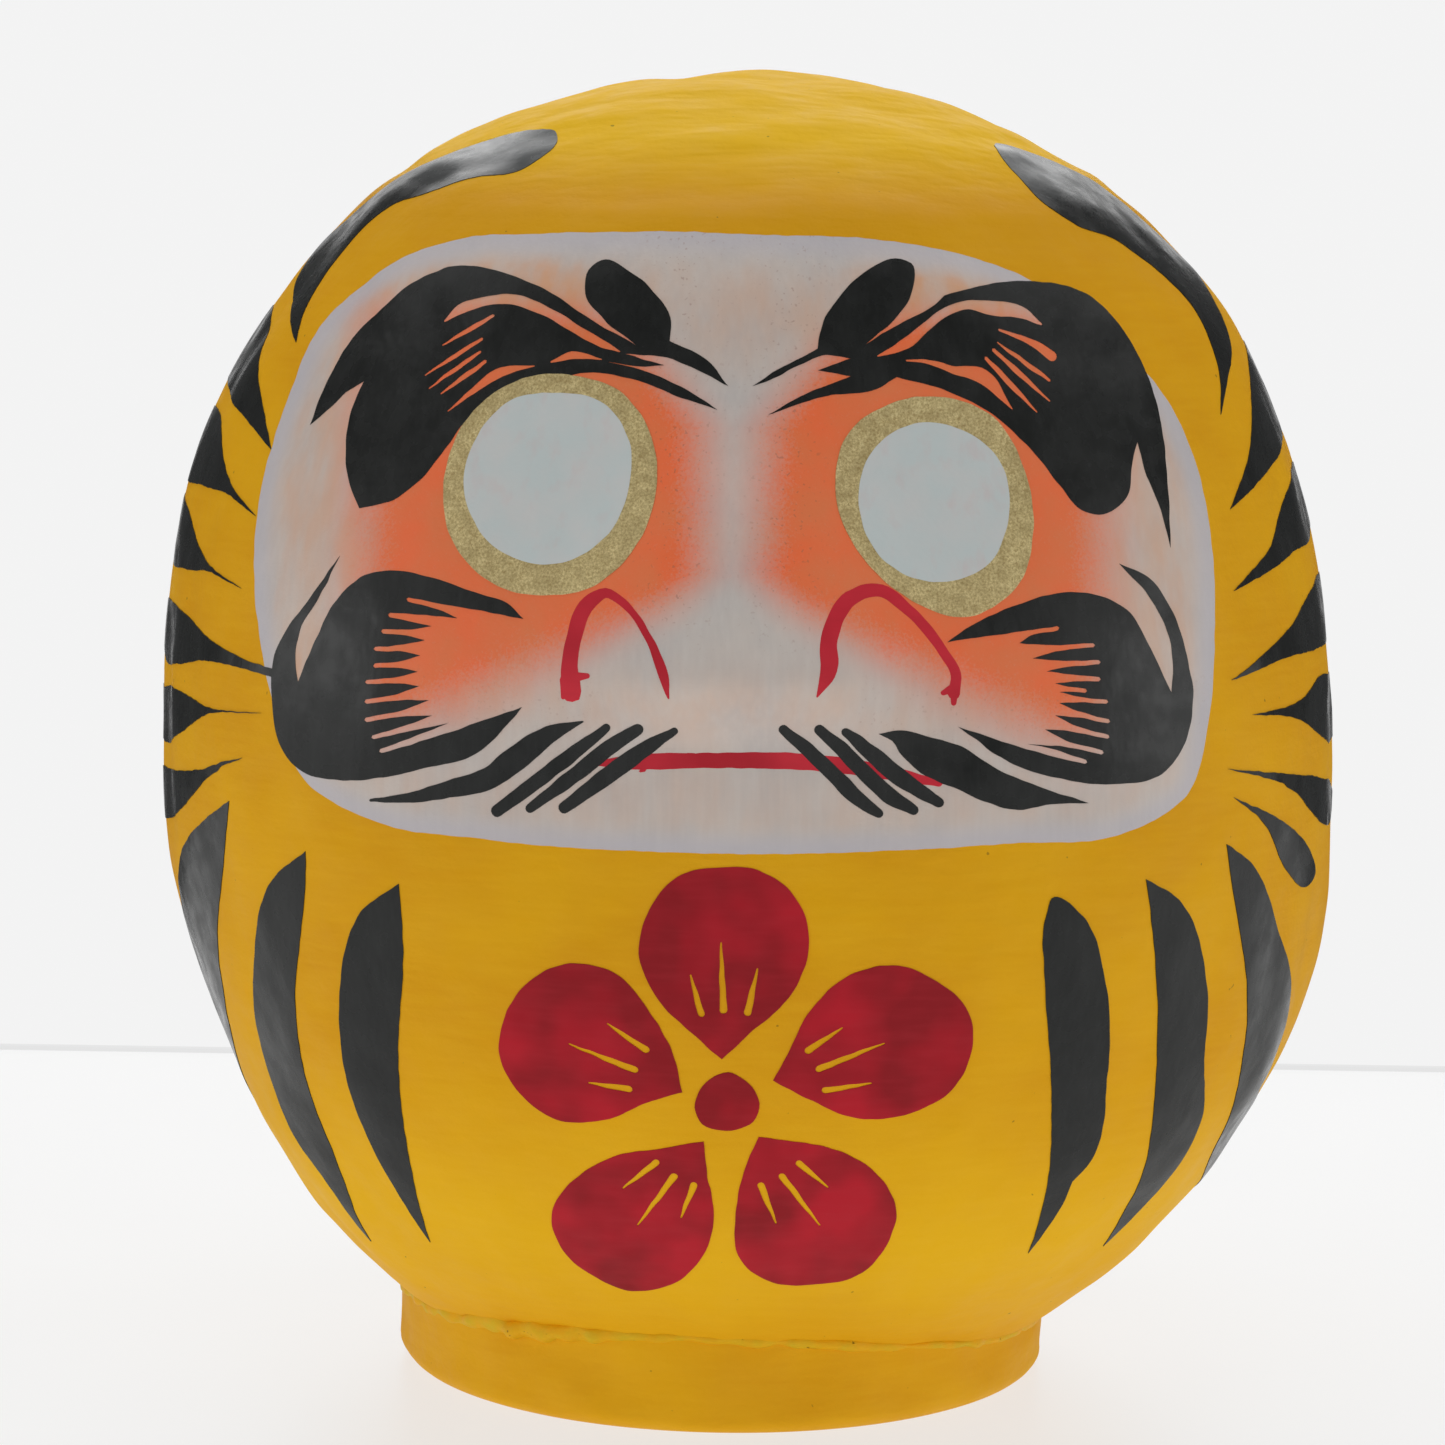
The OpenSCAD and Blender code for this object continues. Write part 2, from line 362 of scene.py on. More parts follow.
def dash(x0, z0, x1, z1, width):
    """A short straight stroke that is widest past its middle."""
    mid = (0.4 * x0 + 0.6 * x1, 0.4 * z0 + 0.6 * z1, width)
    return stroke([(x0, z0, 0.3 * width), mid, (x1, z1, 0.6 * width)])


GAP_MOUTH, GAP_END = 0.62, 0.36  # half the width of a gap between teeth, at its start and at its end
GAP_ROUND = 0.35  # how long the gap's round end is
WIDE_GAP = 4.0  # from this far between two tips, a gap narrows later


def comb(body, tips, notches):
    """body, closed by pointed teeth with narrow gaps that end round at the notches."""
    points = []
    for k, notch in enumerate(notches):
        tip, after, end = np.array(tips[k]), np.array(tips[k + 1]), np.array(notch)
        mouth = (tip + after) / 2
        length, width = np.linalg.norm(end - mouth), np.linalg.norm(tip - after)
        way, aside = (end - mouth) / length, (tip - after) / width
        aside -= way * aside.dot(way)
        aside /= np.linalg.norm(aside)
        near, far = aside * min(GAP_MOUTH, 0.26 * width), aside * GAP_END
        start = mouth + way * ((0.36 if width < WIDE_GAP else 0.55) * length)
        last = end - way * GAP_ROUND
        points += [(*tip, 1), tuple(start + near), (*(last + far), 1)]
        points += [tuple(end), (*(last - far), 1), tuple(start - near)]
    points.append((*tips[-1], 1))
    return closed_line(list(body) + points)


def inside(points, outline):
    """Which points lie inside a closed outline."""
    x, y = points[:, 0:1], points[:, 1:2]
    a, b = outline, np.roll(outline, -1, axis=0)
    crosses = (a[:, 1] > y) != (b[:, 1] > y)
    rise = np.where(b[:, 1] == a[:, 1], 1e-9, b[:, 1] - a[:, 1])
    at = a[:, 0] + (y - a[:, 1]) * (b[:, 0] - a[:, 0]) / rise
    return (crosses & (x < at)).sum(1) % 2 == 1


def anticlockwise(loop):
    x, y = loop[:, 0], loop[:, 1]
    return loop if (x * np.roll(y, -1) - np.roll(x, -1) * y).sum() > 0 else loop[::-1]


def fill(outlines, cuts):
    """Points and triangles over the outlines but not the cuts, and how far each point is from an edge."""
    loops = [anticlockwise(loop) for loop in outlines + cuts]
    rim = np.concatenate(loops)
    tree = KDTree(len(rim))
    for k, p in enumerate(rim):
        tree.insert((p[0], p[1], 0), k)
    tree.balance()
    # A lattice of points inside each outline, clear of the edges.
    within = []
    for outline in outlines:
        (x0, y0), (x1, y1) = outline.min(0), outline.max(0)
        rows = np.arange(y0, y1, SPACING * 0.87)
        lattice = np.array([(x + SPACING / 2 * (j % 2), y) for j, y in enumerate(rows)
                            for x in np.arange(x0, x1, SPACING)]).reshape(-1, 2)
        lattice = lattice[inside(lattice, outline)]
        within += [p for p in lattice if tree.find((p[0], p[1], 0))[2] > 0.5 * SPACING]
    # Outlines may overlap, so points that nearly coincide are left out.
    seen, inner = KDTree(max(1, len(within))), []
    for k, p in enumerate(within):
        seen.insert((p[0], p[1], 0), k)
    seen.balance()
    for k, p in enumerate(within):
        near = [j for _, j, _ in seen.find_range((p[0], p[1], 0), 0.45 * SPACING) if j < k]
        if not near:
            inner.append(p)
    # The triangles that lie in an outline and in no cut are kept.
    points = [Vector(p) for p in rim] + [Vector(p) for p in inner]
    first, faces = 0, []
    for loop in loops:
        faces.append(list(range(first, first + len(loop))))
        first += len(loop)
    verts, _, triangles, _, _, owners = delaunay_2d_cdt(points, [], faces, 1, 1e-4)
    kept = [t for t, o in zip(triangles, owners) if o and max(o) < len(outlines)]
    used = sorted({i for t in kept for i in t})
    number = {v: k for k, v in enumerate(used)}
    flat = np.array([verts[i][:] for i in used])
    depth = np.array([tree.find((p[0], p[1], 0))[2] for p in flat])
    return flat, [tuple(number[i] for i in t) for t in kept], depth


def from_front(flat):
    """around and angle of points (x, z) that are seen straight from the front."""
    x, z = flat[:, 0], flat[:, 1]
    across = np.clip((x - sag_x(z)) / (HALF_W * reach_at(z)), -1, 1)
    return np.degrees(np.arcsin(curved(across, 4 / PLAN_POWER))), angle_at(z)


def from_side(flat):
    return flat[:, 0] / AROUND_MM, flat[:, 1] / ANGLE_MM


def side_shape(points):
    """An outline that is given in degrees round and up the doll."""
    return closed_line([(p[0] * AROUND_MM, p[1] * ANGLE_MM) + tuple(p[2:]) for p in points])


def paint(name, outlines, cuts, lift, material, slot, place=from_front):
    """A closed coat of paint, lift thick, that follows the uneven shell."""
    flat, triangles, depth = fill(outlines, cuts)
    around, angle = place(flat)
    count = len(flat)
    top = painted_point(around, angle, np.full(count, lift))
    under = painted_point(around, angle, np.full(count, -PAINT_ROOT))
    faces = both_sides(triangles, count)
    piece = make_piece(name, np.concatenate([top, under]), faces, material)
    return piece, np.concatenate([flat, flat]), np.concatenate([depth, depth])


# Outlines seen from the front are (x, z) in millimetres, and a third number 1 marks a corner.
FIELD = [
    (-41, 216), (1, 216.3), (24, 215.4), (40, 212.4), (47.5, 209.5), (60, 201), (71.3, 190.5),
    (77.5, 178.6), (80.6, 163), (81.3, 148), (80.6, 134), (76.3, 120.5), (65, 114.9), (45, 114),
    (-9, 112.4), (-45, 113.2), (-65, 114.9), (-77.5, 120.5), (-83.8, 134), (-87.3, 150.5), (-87.5, 167),
    (-83.8, 187), (-77.5, 200.5), (-65, 210.5), (-52, 215),
]
LEFT_BROW = [
    (-78.7, 182.2, 1), (-76.1, 189.8), (-71.6, 197.9), (-65.6, 203.2), (-59.8, 207.8), (-52.4, 210.4),
    (-44, 209.2), (-36.4, 206.5), (-28.2, 201.4), (-20.6, 197.4, 1), (-26.1, 201.6), (-29.5, 206),
    (-29, 210.1), (-26.9, 211.9), (-21.9, 209.9), (-17.7, 206.5), (-14.8, 202.2), (-14.8, 198.2, 1),
    (-8.2, 194.9), (-4.8, 190.8, 1), (-10.3, 193.5), (-15.1, 195.3), (-22.4, 195.9, 1), (-15.7, 194.1, 1),
    (-20.3, 193.8), (-25.5, 194.5, 1), (-18.5, 192.9), (-11.9, 190.1), (-6.5, 186.8, 1), (-13.5, 189),
    (-20.8, 191.6), (-30, 192.4), (-36, 190.5), (-49, 184.5), (-53.5, 178.7), (-57.7, 173.5),
    (-62.9, 169.8), (-68.2, 168.3, 1), (-70.4, 172.9), (-71.4, 179.8), (-70.6, 185.6), (-68.7, 190.1, 1),
    (-71.4, 188.5), (-75, 185.3),
]
RIGHT_BROW = [
    (-0.6, 190.9, 1), (2.8, 193.1), (10.3, 197.2, 1), (11.3, 201.9), (14.4, 206.6), (18.6, 210.6),
    (23.6, 212.7), (26.3, 212), (26.3, 206.6), (23.4, 202.4), (18.5, 198.1, 1), (24.9, 202), (29.7, 204.4),
    (32.1, 206.5, 1), (39.7, 208.6), (47.6, 209.3), (54.4, 208.6), (59.9, 206.1), (64.4, 201.4),
    (67.8, 195.6), (70.1, 189.3), (71.5, 181.4), (72.3, 172), (72.7, 163.6, 1), (70.7, 170.3),
    (68.2, 175.8, 1), (66.6, 181.8, 1), (65.7, 178.7), (64.2, 171.9), (60.2, 169.5), (56.3, 170.3),
    (51.8, 175.3), (46.5, 181.4), (39.2, 187.4), (32.8, 190.3), (23.9, 192.7, 1), (21.3, 190.9),
    (11.3, 189.2), (2.1, 186.1, 1), (8.1, 189.5), (16, 192.7, 1), (10.5, 193.6, 1), (15.9, 195.7, 1),
    (11.8, 196.2), (6.5, 194.1), (3, 192.2),
]
# A beard's outline is its outer part, then the tips of its teeth with the notches between them.
LEFT_BEARD = [
    (-42, 132.3), (-47, 127.6), (-55.3, 124.9), (-63.1, 122.6), (-71.4, 121.4), (-78.7, 122.4),
    (-82.3, 126.4), (-83.7, 132.6), (-83.7, 140.6), (-81.4, 146.2), (-77.3, 152), (-71.6, 159.9, 1),
    (-75.3, 152.6), (-78.7, 146.7), (-79.4, 141), (-78.8, 137.8, 1), (-75.9, 144.8), (-72, 152.3),
    (-67.6, 156.6), (-61.7, 158.1), (-55.9, 157.4), (-47.6, 155.1), (-41.7, 153.4),
]
LEFT_TIPS = [
    (-38.8, 151), (-50.3, 150.6), (-54.8, 149), (-55.9, 146.6), (-56.8, 144), (-57.1, 141.2),
    (-56.8, 138.8), (-55.1, 136.4), (-54.5, 133.9), (-51.7, 132.7), (-38.8, 136.2),
]
LEFT_NOTCHES = [
    (-59.4, 153.4), (-62.6, 150.6), (-63.8, 147.6), (-65, 144.6), (-65.1, 141.6), (-66.5, 138.8),
    (-66.6, 135.4), (-66.5, 132.2), (-65.3, 129.3), (-63.8, 127),
]
RIGHT_BEARD = [
    (37.4, 151.2), (45.2, 154.5), (51.3, 156.2), (59.1, 155.9), (64.7, 153.2), (68.6, 147.3),
    (73.1, 138.6, 1), (73.4, 142.9), (71.9, 150.1), (68, 156.2), (63.1, 161.1, 1), (68.6, 158.6),
    (73, 152.9), (75.8, 145.7), (77.2, 135.7), (75.5, 129), (70.8, 124.3), (63.6, 123.4), (53.6, 124.7),
    (44.1, 127.9),
]
RIGHT_TIPS = [
    (35.1, 134.1), (47.3, 130.9), (50.3, 133.3), (52, 135.7), (52.6, 137.7), (52.7, 139.6), (51.9, 141.1),
    (50.4, 143.1), (47.9, 145.4), (45.5, 148), (33, 148.4),
]
RIGHT_NOTCHES = [
    (57.8, 127.4), (60.8, 129), (61.8, 131.5), (61.9, 134.2), (61.4, 137.6), (57.6, 139.6), (60.1, 141.6),
    (60, 144.5), (58.9, 147.4), (52.5, 150.5),
]
RIGHT_WHISKER = [
    (21.6, 133, 1), (24.7, 133.6), (30.8, 132.2), (35.8, 130.7), (41.9, 126.8), (49.1, 123.7),
    (58.2, 120.4, 1), (50.8, 120.4), (45.8, 119.7), (40.2, 121.2), (34.7, 123.7), (29.1, 126.2),
    (25.2, 129.8), (23.8, 131.8),
]
# Brush strokes are (x, z, width) along their middle.
LEFT_HAIRS = [
    [(-65.4, 118.4, 0.5), (-58.7, 119.4, 1.6), (-50.9, 121.6, 3), (-45, 123.5, 3.7), (-39.5, 127.6, 4.2),
     (-34, 131.8, 3), (-28.3, 134.3, 0.3)],
    [(-24.3, 133.4, 1.4), (-29, 129.5, 2.3), (-36, 123.8, 2.5), (-43, 118.2, 2.1)],
    [(-19, 133.4, 1.9), (-22.5, 131, 2.5), (-28.5, 126, 2.6), (-37.3, 119, 1.6)],
    [(-12.8, 133.4, 1.2), (-17, 130.5, 2.5), (-23, 126, 2.9), (-31.5, 119.3, 1.9)],
]
RIGHT_HAIRS = [
    [(5.4, 133.9, 1.7), (9, 130.8, 2.3), (13.5, 126.6, 2.6), (18.5, 121.8, 2.4), (21.8, 119.5, 1.5)],
    [(11.5, 133.8, 1.9), (15.5, 130.2, 2.5), (19.5, 126.2, 2.7), (24, 122.2, 2.7), (27.7, 120.1, 1.7)],
    [(16, 133.4, 1.6), (20, 130, 2.6), (25, 125.8, 2.9), (31.9, 121.3, 1.8)],
]
LEFT_GAPS = [
    [(-54.2, 200.9, 0.4), (-51.4, 202.9, 1.8), (-47.7, 204, 1.6), (-42.4, 204.7, 1.8), (-36.9, 203.1, 1.8),
     (-31, 200, 1.5), (-27, 197.8, 1.4), (-23.3, 196.3, 0.3)],
    [(-35.1, 194.3, 0.3), (-31.5, 195.4, 1.3), (-26.4, 194.9, 0.2)],
    [(-52.9, 185.4, 0.2), (-48.5, 189, 1), (-44.3, 192, 1.7), (-37.9, 193.5, 0.2)],
]
RIGHT_GAPS = [
    [(49.5, 201.9, 0.4), (46.3, 203.7, 1.9), (39.8, 204.6, 2.4), (36.2, 205, 1.5), (31.8, 203.5, 1.5),
     (28.6, 200.9, 1.6), (25.4, 198.3, 1.8), (20.7, 196.2, 0.3)],
    [(25.6, 195.4, 0.3), (29.7, 195.2, 0.8), (34, 193.9, 1.4), (38.2, 193.2, 2.6), (44, 187.4, 0.2)],
    [(41.7, 200.8, 0.4), (48.6, 198.3, 1.3), (51.3, 196.5, 1.8)],
]
LEFT_COMB = [
    (-54.4, 196.7, -45.2, 201.8, 0.9), (-57.4, 191.5, -47.2, 197.8, 0.8), (-56.6, 189.3, -47.4, 195.6, 0.8),
    (-54.3, 188.4, -46.4, 194, 0.9),
]
RIGHT_COMB = [
    (41.4, 198.7, 50.8, 192.3, 0.9), (50.7, 188.8, 40.7, 197.4, 1), (48.4, 186.9, 39.4, 196, 1),
]
RED_LINES = [
    [(-30.3, 139.4, 3.6), (-30.6, 143.7, 2.8), (-30.1, 147.6, 2.6), (-27.6, 154.2, 2.4), (-24.8, 156, 1.7),
     (-22.6, 155.1, 1.4), (-19.8, 152.6, 1.2), (-17.3, 148.9, 1.2), (-14.5, 142, 1.5), (-13.8, 139.2, 0.3)],
    [(10.9, 139.7, 0.3), (12.6, 143.4, 2.6), (13, 150.1, 2.8), (16.3, 155.9, 2.6), (20.8, 157.2, 2.2),
     (26.3, 153.7, 1.8), (31.9, 147.3, 1.7), (34.6, 142.2, 1.8), (34.2, 139.9, 2.2)],
    [(-25.5, 127.2, 0.9), (-20, 127.6, 2.4), (-8, 128.2, 2.6), (9, 128.2, 2.8), (21, 126.8, 2.5),
     (32, 124.6, 1.2)],
    [(-18.6, 126.1, 0.5), (-17.8, 126.3, 0.6)],
]
# The brush left ragged ends on the red lines.
RED_BRISTLES = [
    [(-31.4, 141.2, 1.8), (-31.7, 138.4, 0.8)],
    [(-29.9, 141.2, 2), (-29.2, 138.4, 0.9)],
    [(-30, 141.8, 1.8), (-27.6, 142.2, 0.9)],
    [(33.9, 140.6, 1.5), (32.4, 139.9, 0.9)],
    [(34.2, 140.4, 1.5), (34.2, 138.2, 0.9)],
]
LEFT_RING = [
    (-38.8, 191.6), (-31, 192), (-23.1, 189.5), (-17.6, 182), (-16.7, 173), (-20, 163.8), (-27, 157),
    (-36.3, 155), (-45.5, 157.3), (-51.9, 164.3), (-53.3, 174), (-49.4, 184.3),
]
RIGHT_RING = [
    (13.6, 174.9), (15.6, 183), (22, 187.8), (31.3, 189.4), (41, 185.8), (46, 177.5), (47.8, 168),
    (45, 157.5), (36.3, 152.5), (26, 155.8), (17.5, 163.8), (14.2, 170.5),
]
LEFT_EYE = [
    (-49.8, 172.8), (-47.8, 181), (-41.5, 187.7), (-34, 189), (-25.8, 187.4), (-21.4, 181.1), (-21.2, 174),
    (-24.5, 165.8), (-33.8, 160.3), (-44.5, 163),
]
RIGHT_EYE = [
    (17.7, 174.5), (20.5, 181), (27, 184.8), (35.5, 183.7), (42.2, 178), (43.4, 169), (40, 161.3),
    (31.3, 158.3), (22.5, 161.5), (18.1, 168.6),
]
# Outlines on the sides are (around, angle) in degrees.
LEFT_STRIPES = [
    [(-33.9, 59.4), (-37.1, 62.4), (-44, 62.9), (-51.4, 62.2), (-58.9, 60.1), (-67.1, 54.7), (-74, 49),
     (-76.5, 44.6), (-74.2, 41.3), (-68.2, 38.4), (-58.9, 34.2, 1), (-61.8, 38.5), (-61.6, 45),
     (-59.5, 49.6), (-51.4, 52.2), (-42.9, 54.1), (-36, 56)],
    [(-54.3, 24.1, 1), (-62.9, 29.9), (-71.4, 35.5), (-80, 38), (-88, 36), (-90, 33), (-84, 30.5),
     (-74, 29), (-64.3, 27)],
    [(-53.2, 18.4, 1), (-62.9, 21.6), (-71.4, 26.2), (-78, 27.2), (-86, 26), (-88, 23), (-82, 20.8),
     (-70, 20.3), (-60.7, 19.9)],
    [(-53.6, 12.6, 1), (-65, 14.9), (-75.7, 18.5), (-84, 18.5), (-87, 16), (-83, 14), (-70, 13.3),
     (-60.7, 13.5)],
    [(-45.2, 6.9, 1), (-52, 7.5), (-58.6, 8.4), (-67.1, 9.8), (-77.1, 10.3), (-85, 9.5), (-87, 8), (-82, 6),
     (-70, 6), (-59.3, 6.9), (-52, 6.8), (-45.2, 6.3, 1)],
    [(-48.6, 3.9, 1), (-58.6, 3.7), (-70, 4.3), (-80, 3.7), (-87, 2.6), (-86, 1), (-80, 0.3), (-68.6, 1.3),
     (-58.6, 3.3)],
    [(-51.8, 1, 1), (-62.9, -0.3), (-74.3, -1.2), (-84, -2), (-88, -3.5), (-84, -5.2), (-75.7, -5.1),
     (-67.1, -3.3), (-58.6, -0.3)],
    [(-54.6, -1.8, 1), (-62.9, -4.4), (-70, -7.2), (-77.1, -11.8), (-82, -17), (-84, -24), (-82, -31),
     (-81, -37, 1), (-78.5, -31), (-75.7, -28.8), (-69.3, -22.6), (-62.9, -13), (-56.4, -4.7)],
    [(-43, -4.7, 1), (-48.6, -7.3), (-55.7, -15.5), (-60, -23.8), (-59.6, -30.5), (-56.1, -38.4),
     (-54.6, -43.4, 1), (-52.1, -33.4), (-50.4, -23), (-48.6, -18), (-43.6, -7.2)],
    [(-31.6, -6.3, 1), (-36.4, -8.8), (-41.4, -16.8), (-43.1, -26.3), (-41.8, -35.5), (-40.4, -41.3, 1),
     (-37.5, -31.3), (-35, -21.3), (-31.8, -10.5)],
]
RIGHT_STRIPES = [
    [(43.8, 55.5), (44.8, 59.3), (48, 61.7), (55, 61.6), (63, 59.6), (70.5, 56.4), (76.5, 52.4), (79.5, 48),
     (78, 44.3), (73.8, 40.8), (69.3, 36), (62, 31.8), (56.8, 28.6, 1), (61, 33), (62.3, 37.6),
     (60.2, 42.8), (55, 46.5), (46.4, 49.7), (44, 52)],
    [(53, 20.3, 1), (60.7, 25.3), (68.6, 31.2), (76, 34.5), (84, 35), (87, 31.5), (82, 27.5), (71.4, 24.9),
     (62.1, 22.8)],
    [(50.7, 13.8, 1), (60, 17), (68.6, 21.2), (77, 23.2), (85, 22.5), (86, 19.5), (80, 17.4), (67.1, 16.3)],
    [(48.7, 7.2, 1), (60, 10.3), (70, 12.8), (79.3, 13.8), (86, 12.8), (87, 10.3), (80, 8.9), (69.3, 8.5),
     (58, 8.3)],
    [(51.6, 4.7, 1), (62.1, 5.2), (68.6, 6.4), (78, 5.9), (86, 4.6), (86.5, 2.6), (80, 1.4), (70, 2.2),
     (60, 4.1)],
    [(47.7, 1.4, 1), (60.7, 0.5), (71.4, -0.3), (80, -1.4), (84.5, -3), (80, -4.1), (70.7, -3.6),
     (60, -0.3)],
    [(48.7, -0.1, 1), (58.6, -2.6), (65.7, -5.1), (69.5, -7.6), (66.4, -8.3), (60, -6.3), (53.6, -2)],
    [(47.7, -3.4, 1), (52.1, -5.1), (60, -11.3), (66.4, -17.2), (71.4, -26.3), (77, -30.5), (82, -36),
     (81, -42, 1), (77, -40), (70.7, -36.8), (63.6, -32.2), (58.6, -24.7), (53.6, -15.1), (48.2, -4.7)],
    [(36.2, -5.3, 1), (40.7, -7.2), (46.8, -15.1), (48.9, -21.3), (52.9, -28), (53, -35.5),
     (51.2, -42.6, 1), (47.9, -35.1), (42.9, -25.5), (39.3, -15.5)],
    [(25.1, -8), (25.8, -6.3), (29.1, -7.8), (32.2, -13.1), (34.7, -21.9), (36.1, -30.6), (35.1, -32.2, 1),
     (35.4, -34.4), (34.3, -40.6, 1), (32.4, -34.4), (28, -21.9), (25.4, -12)],
]

BLOSSOM_X, BLOSSOM_Z = -3.0, 68.0
UNEVEN = 0.28  # how far the points of a petal stray


def petal(turn, size, reach):
    """A fat brushed petal, round outside and drawn in to a point near the blossom's middle."""
    way = np.array([math.cos(turn), math.sin(turn)])
    side = np.array([-way[1], way[0]])
    middle = np.array([BLOSSOM_X, BLOSSOM_Z])
    shape = [(8.5, 0.9), (13, 5), (19, 11.2), (27, 14.3), (35, 12.6), (40.5, 7.4), (42.4, 0.8),
             (41.2, -6.4), (35.5, -12.9), (27, -14.1), (19, -10.6), (13, -4.6)]
    points = [tuple(middle + way * (r * reach) + side * (s * size) + random.normal(0, UNEVEN, 2))
              for r, s in shape]
    points[0] += (1,)
    return closed_line(points)


def blossom():
    """Outlines of five petals and a round middle, and the thin unpainted lines left inside each petal."""
    shapes, lines = [], []
    middle = np.array([BLOSSOM_X, BLOSSOM_Z])
    for k, (size, reach, lean) in enumerate([(1, 1, 2), (1.04, 0.97, -3), (0.95, 1.02, 3), (1.02, 0.98, -2),
                                             (0.97, 1.03, 4)]):
        turn = math.radians(90 + 72 * k + lean)
        shapes.append(petal(turn, size, reach))
        for spread, length in ((-13, 25), (1, 29), (14, 24)):
            way = turn + math.radians(spread)
            start, end = [middle + r * np.array([math.cos(way), math.sin(way)]) for r in (17, length)]
            lines.append(stroke([(*start, 1.3), (*((start + end) / 2), 0.9), (*end, 0.3)]))
    ring = [(BLOSSOM_X + r * math.cos(t), BLOSSOM_Z + r * math.sin(t))
            for t, r in zip(np.radians(np.arange(0, 360, 45)), [5.6, 5.2, 5.8, 5.3, 5.5, 5.9, 5.2, 5.6])]
    shapes.append(closed_line(ring))
    return shapes, lines


# ---- materials
class Shader:
    """Short ways to build one node material. Coordinates are the object's own, in millimetres."""

    def __init__(self, name):
        self.material = bpy.data.materials.new(name)
        self.material.use_nodes = True
        self.tree = self.material.node_tree
        self.shader = self.tree.nodes["Principled BSDF"]
        place = self.tree.nodes.new("ShaderNodeTexCoord").outputs["Object"]
        self.place = self.vector("MULTIPLY", place, (1000, 1000, 1000))
        split = self.tree.nodes.new("ShaderNodeSeparateXYZ")
        self.tree.links.new(self.place, split.inputs[0])
        self.height = split.outputs["Z"]

    def put(self, socket, value):
        if hasattr(value, "is_linked"):
            self.tree.links.new(value, socket)
        elif value is not None:
            socket.default_value = value

    def vector(self, operation, a, b):
        node = self.tree.nodes.new("ShaderNodeVectorMath")
        node.operation = operation
        self.put(node.inputs[0], a)
        self.put(node.inputs[1], b)
        return node.outputs[0]

    def math(self, operation, a, b):
        node = self.tree.nodes.new("ShaderNodeMath")
        node.operation = operation
        self.put(node.inputs[0], a)
        self.put(node.inputs[1], b)
        return node.outputs[0]

    def times(self, a, b):
        return self.math("MULTIPLY", a, b)

    def noise(self, size, detail=3.0, stretch=(1, 1, 1), rough=0.5):
        """Noise with features about size millimetres across, drawn out by stretch."""
        node = self.tree.nodes.new("ShaderNodeTexNoise")
        place = self.vector("DIVIDE", self.place, tuple(s * size for s in stretch))
        self.tree.links.new(place, node.inputs["Vector"])
        node.inputs["Scale"].default_value = 1.0
        node.inputs["Detail"].default_value = detail
        node.inputs["Roughness"].default_value = rough
        return node.outputs["Fac"]

    def value(self, name):
        node = self.tree.nodes.new("ShaderNodeAttribute")
        node.attribute_name = name
        return node.outputs["Fac"]

    def span(self, value, low, high, to_low=0.0, to_high=1.0):
        """value taken from low..high to to_low..to_high, and held there outside."""
        node = self.tree.nodes.new("ShaderNodeMapRange")
        for socket, v in zip(node.inputs[:5], (value, low, high, to_low, to_high)):
            self.put(socket, v)
        return node.outputs[0]

    def patchy(self, size, detail, low, high):
        """A value between low and high that changes over about size millimetres."""
        return self.span(self.noise(size, detail), 0.3, 0.7, low, high)

    def mix(self, amount, a, b):
        node = self.tree.nodes.new("ShaderNodeMix")
        node.data_type = "RGBA"
        self.put(node.inputs[0], amount)
        self.put(node.inputs[6], colour(a) if isinstance(a, tuple) else a)
        self.put(node.inputs[7], colour(b) if isinstance(b, tuple) else b)
        return node.outputs[2]

    def bumps(self, *layers):
        """Surface detail from pairs of a value and its height in millimetres, one over the other."""
        normal = None
        for value, distance in layers:
            node = self.tree.nodes.new("ShaderNodeBump")
            node.inputs["Strength"].default_value = 1.0
            node.inputs["Distance"].default_value = distance * MM
            self.put(node.inputs["Height"], value)
            if normal is not None:
                self.tree.links.new(normal, node.inputs["Normal"])
            normal = node.outputs["Normal"]
        return normal

    def finish(self, base, rough, normal, **fixed):
        self.put(self.shader.inputs["Base Color"], colour(base) if isinstance(base, tuple) else base)
        self.put(self.shader.inputs["Roughness"], rough)
        self.put(self.shader.inputs["Normal"], normal)
        for name, value in fixed.items():
            self.shader.inputs[name.replace("_", " ")].default_value = value
        return self.material


def colour(rgb):
    """A linear colour from one given as 0 to 255."""
    c = np.array(rgb[:3]) / 255
    linear = np.where(c <= 0.04045, c / 12.92, ((c + 0.055) / 1.055) ** 2.4)
    return tuple(linear) + (1.0,)


